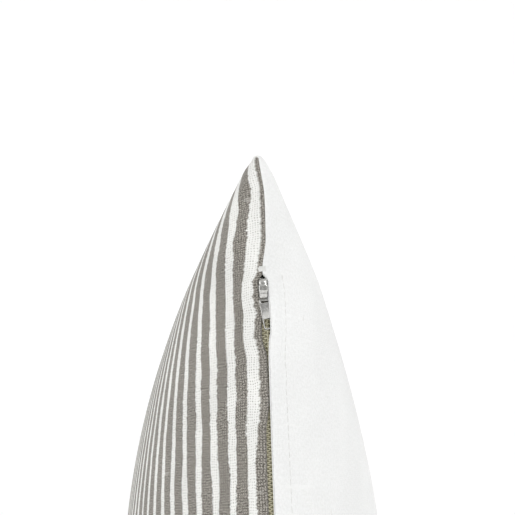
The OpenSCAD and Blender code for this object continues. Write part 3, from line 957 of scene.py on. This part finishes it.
def topstitch_piece(name, side, grid, outward):
    """The row of stitches that holds the folded edge."""
    column = int(np.argmin(abs(across_steps - STITCH_AT)))
    line, up = grid[column], outward[column]
    run = np.concatenate([[0], np.cumsum(np.linalg.norm(np.diff(line, axis=0), axis=1))])
    low = np.interp(ZIP_BOTTOM - 1 * MM, line[:, 2], run)
    high = np.interp(ZIP_TOP + 1 * MM, line[:, 2], run)
    pitch, length = 3.2 * MM, 2.5 * MM
    parts = []
    for k in range(int((high - low) / pitch)):
        ends = low + k * pitch + np.array((0, length))
        points_in = [at_step(e, run, line) for e in ends]
        parts.append(tube(stitch_path(points_in, [at_step(e, run, up) for e in ends]), STITCH_THREAD))
    obj = mesh_piece(name, *joined(parts), THREAD_TAUPE if side < 0 else THREAD_PALE)
    bend_with_zip(obj)
    return obj


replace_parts(topstitch_piece("stitches_front", -1, front_grid, front_out), "topstitch_front")
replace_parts(topstitch_piece("stitches_back", 1, back_grid, back_out), "topstitch_back")


def bartack_piece(name, z_low, node_name):
    """A bar tack across the end of the zip: close stitches to and fro over the seam."""
    path = []
    rows = 13
    for k in range(rows):
        z = z_low + k * 0.15 * MM
        j = int(np.argmin(abs(front_grid[0, :, 2] - z)))
        reach = 1.6 * MM
        stations = (-1.0, -0.75, -0.4, 0.0, 0.4, 0.75, 1.0)
        row = []
        for t in stations:
            grid, out = (front_grid, front_out) if t < 0 else (back_grid, back_out)
            s = abs(t) * reach
            height = -0.3 * MM if abs(t) == 1 else 0.12 * MM
            n = np.array((0.0, -1.0, 0.0)) if t == 0 else at_step(s, across_steps, out[:, j])
            q = at_step(s, across_steps, grid[:, j]) + n * height
            q[2] = z
            row.append(q)
        path += row if k % 2 == 0 else row[::-1]
    obj = mesh_piece(name, *tube(path, BARTACK_THREAD), THREAD_PALE)
    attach(obj, "cover")
    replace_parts(obj, node_name)
    return obj


bartack_piece("bar_tack_top", 377.4 * MM, "bartack_top")
bartack_piece("bar_tack_bottom", 37.5 * MM, "bartack_bottom")


# ---- the slider ----
def rounded(corners, radius, steps=5):
    """An outline with each corner turned by a curve."""
    corners = [np.array(c, float) for c in corners]
    out = []
    for k, p in enumerate(corners):
        a, b = corners[k - 1], corners[(k + 1) % len(corners)]
        start = p + (a - p) * min(radius / np.linalg.norm(a - p), 0.49)
        end = p + (b - p) * min(radius / np.linalg.norm(b - p), 0.49)
        for m in range(steps + 1):
            t = m / steps
            out.append((1 - t) ** 2 * start + 2 * t * (1 - t) * p + t * t * end)
    return out


def slab(outline, near, far, edge, z_mid):
    """A flat part with rounded rims: the outline lies in x and z, and near and far are out from the chain."""
    outline = np.array(outline)
    before, after = np.roll(outline, 1, axis=0), np.roll(outline, -1, axis=0)
    along = after - before
    out = np.stack([along[:, 1], -along[:, 0]], axis=1)
    out /= np.linalg.norm(out, axis=1, keepdims=True)
    area = np.sum(outline[:, 0] * after[:, 1] - after[:, 0] * outline[:, 1])
    out *= 1 if area > 0 else -1
    loops = [(edge * 1.5, near), (edge, near)]
    loops += [(edge * (1 - math.sin(t)), near + edge * (1 - math.cos(t))) for t in (0.52, 1.05, 1.57)]
    loops += [(edge * (1 - math.sin(t)), far - edge * (1 - math.cos(t))) for t in (1.57, 1.05, 0.52)]
    loops += [(edge, far), (edge * 1.5, far)]
    verts = [at_zip(x, w, z_mid + z) for inset, w in loops for x, z in outline - out * inset]
    return verts, ring_faces(len(loops), len(outline), area <= 0)


def plate_outline():
    half, narrow, wide = 4.5 * MM, 3.1 * MM, 4.0 * MM
    right = [(narrow - 0.5 * MM, -half), (narrow, -half + 1.0 * MM), (wide, -half + 4.2 * MM),
             (wide, half - 1.6 * MM), (wide - 1.4 * MM, half), (1.3 * MM, half), (0.0, half - 0.8 * MM)]
    left = [(-x, z) for x, z in right[-2::-1]]
    return rounded(right + left, 0.9 * MM)


def crown_mesh():
    """The crown: a bridge on two feet over the outer plate, widest in a flat band at its middle."""
    low, top, half, bend = 2.0 * MM, 4.45 * MM, 3.12 * MM, 1.3 * MM
    turns = np.linspace(0, math.pi / 2, 7)
    path = [(low, half)]
    path += [(top - bend + bend * math.sin(t), half - bend + bend * math.cos(t)) for t in turns]
    path += [(top, z) for z in (1.32 * MM, 1.22 * MM, 1.12 * MM, 0.6 * MM, 0.0)]
    path += [(w, -z) for w, z in path[-2::-1]]
    path = np.array(path)
    tangent = np.gradient(path, axis=0)
    tangent /= np.linalg.norm(tangent, axis=1, keepdims=True)
    verts = []
    ring = 24
    for (w, z), (tw, tz) in zip(path, tangent):
        band = 1 - smooth(abs(z), 1.1 * MM, 1.3 * MM)
        wide = (1.45 + 0.18 * band) * MM
        thick = (0.62 + 0.14 * band) * MM
        square = 0.85 - 0.45 * band
        for m in range(ring):
            c, s = math.cos(2 * math.pi * m / ring), math.sin(2 * math.pi * m / ring)
            a = wide * abs(c) ** square * (1 if c > 0 else -1)
            b = thick * abs(s) ** square * (1 if s > 0 else -1)
            verts.append(at_zip(a, w - tz * b, SLIDER_Z + z + tw * b))
    quads = []
    for k in range(len(path) - 1):
        for m in range(ring):
            a, b = k * ring + m, k * ring + (m + 1) % ring
            quads.append((a, a + ring, b + ring, b))
    quads.append(tuple(range(ring)))
    quads.append(tuple((len(path) - 1) * ring + m for m in range(ring))[::-1])
    return verts, quads


def slider_pieces():
    body = [slab(plate_outline(), 1.15 * MM, 2.1 * MM, 0.28 * MM, SLIDER_Z),
            slab(plate_outline(), -2.75 * MM, -1.8 * MM, 0.28 * MM, SLIDER_Z)]
    post = [(-0.4, 1.6), (0, 0.9), (0.4, 1.6), (0.4, 4.0), (0, 4.4), (-0.4, 4.0)]
    post = rounded([(x * MM, z * MM) for x, z in post], 0.3 * MM, 3)
    body.append(slab(post, -1.9 * MM, 1.25 * MM, 0.05 * MM, SLIDER_Z))
    for side in (-1, 1):
        wall = [(2.5, -3.7), (3.1, -3.7), (4.0, -0.3), (4.0, 3.1), (3.4, 3.1), (3.4, -0.3)]
        wall = rounded([(side * x * MM, z * MM) for x, z in wall], 0.25 * MM, 3)
        body.append(slab(wall, -0.55 * MM, 1.25 * MM, 0.12 * MM, SLIDER_Z))
    plate = mesh_piece("slider", *joined(body), NICKEL)
    crown = mesh_piece("crown", *crown_mesh(), NICKEL)
    for obj, node_name in ((plate, "slider_body"), (crown, "slider_crown")):
        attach(obj, "slider")
        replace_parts(obj, node_name)


slider_pieces()

TAB_HALF = 2.3 * MM
TAB_REACH = 14.7 * MM
TAB_OUT = 2.85 * MM
TAB_THICK = 0.8 * MM
TAB_LEAN = math.radians(9)


def bevel(obj, width, degrees):
    rim = obj.modifiers.new("rim", "BEVEL")
    rim.width = width
    rim.segments = 3
    rim.limit_method = "ANGLE"
    rim.angle_limit = math.radians(degrees)
    return rim


def tab_piece():
    """The pull tab: a thin plate with an eye for the crown and a window near its free end."""
    split = -5.9 * MM
    areas = [((split, 0.45 * MM), (1.72 * MM, -4.9 * MM, -0.45 * MM), 0.4 * MM),
             ((-TAB_REACH, split), (1.8 * MM, -14.1 * MM, -10.9 * MM), 0.35 * MM)]
    across, up = 8, 12

    def ring_of(half, low, high):
        ring = [(-half + 2 * half * k / across, low) for k in range(across)]
        ring += [(half, low + (high - low) * k / up) for k in range(up)]
        ring += [(half - 2 * half * k / across, high) for k in range(across)]
        return ring + [(-half, high - (high - low) * k / up) for k in range(up)]

    def round_corner(x, v, half, low, high, radius, ends):
        for end in ends:
            centre_v = low + radius if end < 0 else high - radius
            dx, dv = abs(x) - (half - radius), (v - centre_v) * end
            if dx > 0 and dv > 0:
                far = max(dx, dv) / math.hypot(dx, dv)
                return math.copysign(half - radius + dx * far, x), centre_v + end * dv * far
        return x, v

    bm = bmesh.new()
    made = {}

    def vertex(x, v):
        key = (round(x * 1e7), round(v * 1e7))
        if key not in made:
            made[key] = bm.verts.new((x, 0, v))
        return made[key]

    for (low, high), (hole_half, hole_low, hole_high), hole_radius in areas:
        outer = ring_of(TAB_HALF, low, high)
        outer = [round_corner(x, v, TAB_HALF, -TAB_REACH, 0.45 * MM, 0.9 * MM if v < split else 0.35 * MM,
                              (-1,) if v < split else (1,)) for x, v in outer]
        inner = ring_of(hole_half, hole_low, hole_high)
        inner = [round_corner(x, v, hole_half, hole_low, hole_high, hole_radius, (-1, 1)) for x, v in inner]
        loops = [[vertex(*p) for p in outer], [vertex(*p) for p in inner]]
        for k in range(len(outer)):
            m = (k + 1) % len(outer)
            bm.faces.new((loops[0][k], loops[0][m], loops[1][m], loops[1][k]))
    bmesh.ops.recalc_face_normals(bm, faces=bm.faces)
    mesh = bpy.data.meshes.new("tab_flat")
    bm.to_mesh(mesh)
    bm.free()
    obj = added("tab", mesh)
    thick = obj.modifiers.new("thick", "SOLIDIFY")
    thick.thickness = TAB_THICK
    thick.offset = 0
    bevel(obj, 0.2 * MM, 50).harden_normals = True
    final = applied(obj)
    place = Matrix.Translation(at_zip(0, TAB_OUT, SLIDER_Z)) @ Matrix.Rotation(-TAB_LEAN, 4, "Y")
    final.transform(place)
    final.materials.append(NICKEL)
    final.polygons.foreach_set("use_smooth", [True] * len(final.polygons))
    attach(obj, "pull_tab")
    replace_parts(obj, "pull_tab")


tab_piece()

# ---- small CAD parts that keep their own shape ----
KEPT_NODES = (("lock_pawl", SPRING, 0.08), ("top_stop_front", NICKEL, 0.3), ("top_stop_back", NICKEL, 0.3),
              ("bottom_stop", NICKEL, 0.2), ("seam_thread", THREAD_PALE, 0))
for name, mat, edge in KEPT_NODES:
    node_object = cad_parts[name]
    node_object.data.materials.clear()
    node_object.data.materials.append(mat)
    if edge:
        bevel(node_object, edge * MM, 40)

# ---- floor, light and camera ----
FLOOR_DROP = 0.0006
floor_mesh = bpy.data.meshes.new("floor")
turns = np.linspace(0, math.pi / 2, 13)
sweep = [(-3.0, 0.0)] + [(1.6 + 0.9 * math.sin(t), 0.9 - 0.9 * math.cos(t)) for t in turns]
sweep.append((2.5, 3.0))
floor_mesh.from_pydata([(x, y, z - FLOOR_DROP) for y, z in sweep for x in (-4.0, 4.0)], [],
                       [(2 * k, 2 * k + 1, 2 * k + 3, 2 * k + 2) for k in range(len(sweep) - 1)])
floor_mesh.polygons.foreach_set("use_smooth", [True] * len(floor_mesh.polygons))
floor_look = Look("floor_pale")
floor_look.shade("Base Color", (0.93, 0.93, 0.93))
floor_look.shade("Roughness", 0.9)
floor_look.shade("Emission Color", (1.0, 1.0, 1.0))
floor_look.shade("Emission Strength", 0.22)
floor_mesh.materials.append(floor_look.material)
floor = added("floor", floor_mesh)

world = bpy.data.worlds.new("studio")
scene.world = world
world.use_nodes = True
nodes, link = world.node_tree.nodes, world.node_tree.links.new
nodes["Background"].inputs[0].default_value = (1.0, 1.0, 1.0, 1.0)
light_path = nodes.new("ShaderNodeLightPath")
brightness = nodes.new("ShaderNodeMapRange")
brightness.inputs[4].default_value = 1.0
link(light_path.outputs["Is Camera Ray"], brightness.inputs[0])
# the studio is bright all round and dimmer where the photographer stands
direction = nodes.new("ShaderNodeTexCoord")
facing = nodes.new("ShaderNodeVectorMath")
facing.operation = "DOT_PRODUCT"
facing.inputs[1].default_value = (0.0, -1.0, 0.1)
dimmer = nodes.new("ShaderNodeMapRange")
dimmer.interpolation_type = "SMOOTHSTEP"
for slot_number, number in ((1, 0.72), (2, 0.93), (3, 0.77), (4, 0.50)):
    dimmer.inputs[slot_number].default_value = number
link(direction.outputs["Generated"], facing.inputs[0])
link(facing.outputs["Value"], dimmer.inputs[0])
link(dimmer.outputs[0], brightness.inputs[3])
link(brightness.outputs[0], nodes["Background"].inputs[1])
scene.view_settings.view_transform = "Standard"


def area_light(name, place, aim, size, power):
    light = bpy.data.lights.new(name, "AREA")
    light.shape = "RECTANGLE"
    light.size, light.size_y = size
    light.energy = power
    obj = bpy.data.objects.new(name, light)
    obj.location = place
    obj.rotation_euler = (Vector(aim) - Vector(place)).to_track_quat("-Z", "Y").to_euler()
    scene.collection.objects.link(obj)


area_light("key", (1.1, -1.6, 1.7), (0, -0.1, 0.25), (1.0, 1.0), 11)
area_light("fill", (-1.6, -1.2, 1.0), (0, -0.1, 0.25), (1.4, 1.4), 8)

CAMERA_PLACE = (-0.0265, -(ZIP_REACH + 0.4503), 0.3186)
CAMERA_YAW = math.radians(3.195)
CAMERA_PITCH = math.radians(8.108)
CAMERA_ROLL = math.radians(-2.162)
CAMERA_LENS = 87.73
camera_data = bpy.data.cameras.new("camera")
camera_data.sensor_width = 36
camera_data.lens = CAMERA_LENS
camera_data.clip_start = 0.02
camera = bpy.data.objects.new("camera", camera_data)
turned = Matrix.Rotation(-CAMERA_YAW, 4, "Z") @ Matrix.Rotation(math.pi / 2 + CAMERA_PITCH, 4, "X")
camera.matrix_world = Matrix.Translation(CAMERA_PLACE) @ turned @ Matrix.Rotation(CAMERA_ROLL, 4, "Z")
scene.collection.objects.link(camera)
scene.camera = camera
